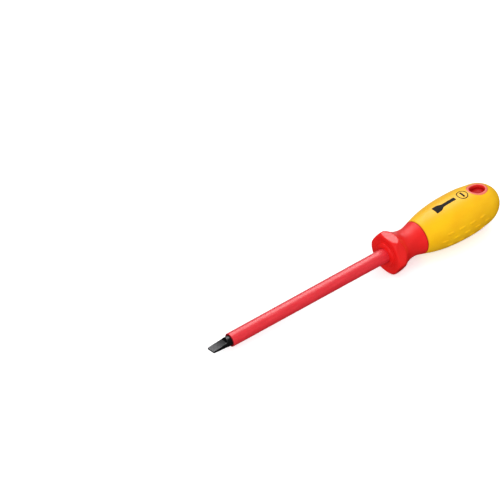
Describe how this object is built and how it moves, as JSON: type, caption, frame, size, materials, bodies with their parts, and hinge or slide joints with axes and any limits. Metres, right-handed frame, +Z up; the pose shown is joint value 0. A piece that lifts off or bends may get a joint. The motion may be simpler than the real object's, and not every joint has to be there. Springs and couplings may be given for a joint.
{
  "type": "insulated screwdriver",
  "caption": "Slotted screwdriver with an insulated shaft, a hexagonal anti-roll collar and a soft-grip handle with a hanging hole near the butt.",
  "frame": {"origin": "centre of the blade's end face, on the tool's axis", "axes": "+X along the tool from the tip to the butt, +Z up, square to a flat of the collar and along the hanging hole; the blade's flats are turned 10 degrees from it about the axis"},
  "size_m": [0.252, 0.0352, 0.0342],
  "materials": {
    "blade_steel": "blackened steel with lighter ground faces at the tip",
    "insulation_red": "satin red insulating plastic",
    "handle_red": "satin red moulded plastic",
    "grip_yellow": "soft-touch yellow thermoplastic rubber, satin"
  },
  "bodies": {
    "root": {"blade": "blade_steel", "blade_insulation": "insulation_red", "handle_core": "handle_red", "grip": "grip_yellow"}
  },
  "joints": []
}
